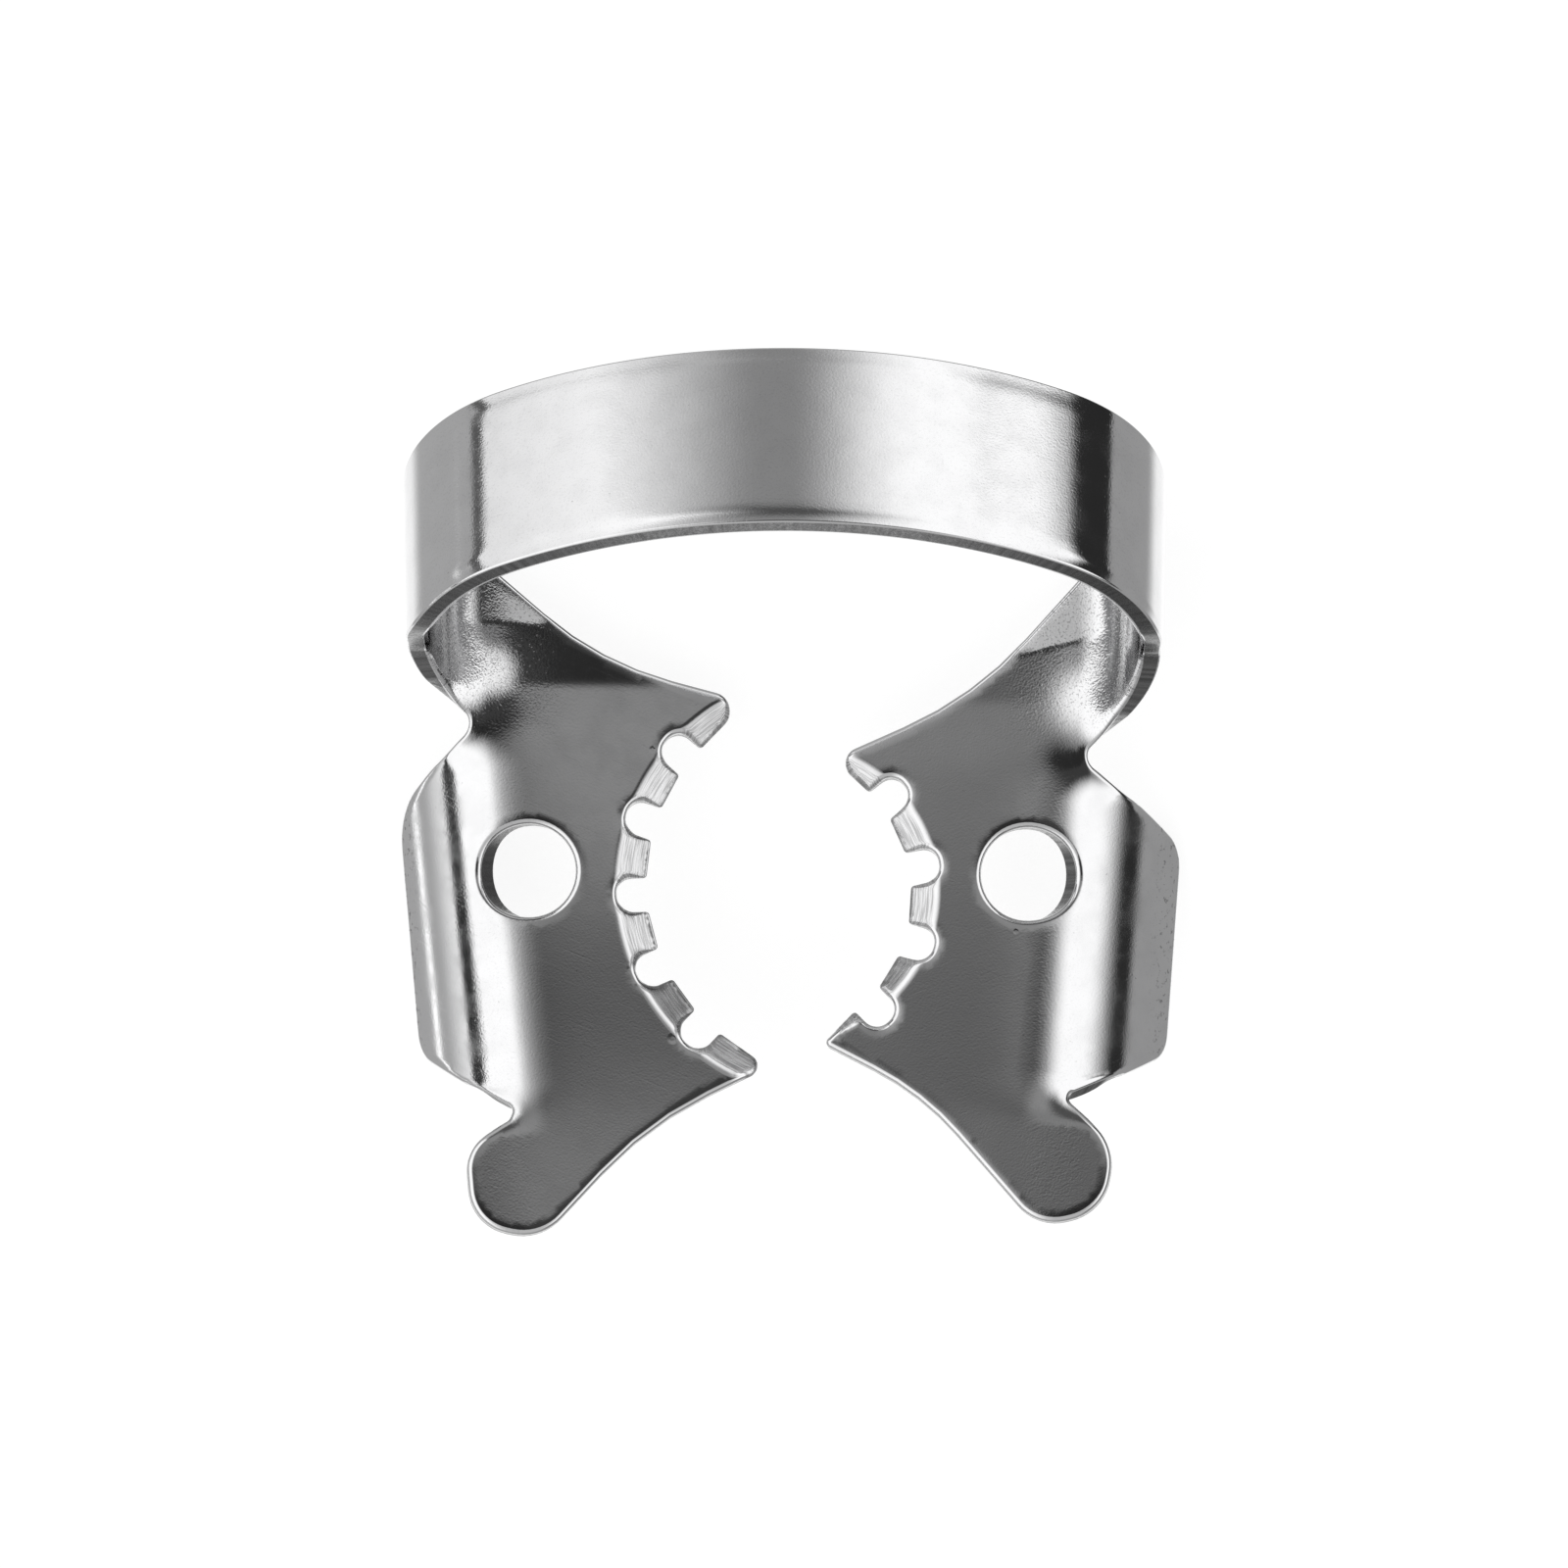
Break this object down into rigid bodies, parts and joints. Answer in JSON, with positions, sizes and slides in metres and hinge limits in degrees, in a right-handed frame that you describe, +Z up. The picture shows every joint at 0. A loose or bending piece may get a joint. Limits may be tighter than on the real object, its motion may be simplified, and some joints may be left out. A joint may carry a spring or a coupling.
{
  "type": "rubber dam clamp",
  "caption": "Winged rubber dam clamp bent from a strip of spring steel: toothed jaws with forceps holes and wings, joined by a bow that leans back over the tooth.",
  "frame": {"origin": "on the surface that the clamp rests on, under the middle of its bounding box", "axes": "+Z up, +Y towards the bow, +X towards the jaw with four notches"},
  "size_m": [0.025, 0.0286, 0.0118],
  "materials": {
    "steel": "polished stainless spring steel with a faint satin grain, ground bevels along the teeth"
  },
  "bodies": {
    "root": {"clamp": "steel"}
  },
  "joints": []
}
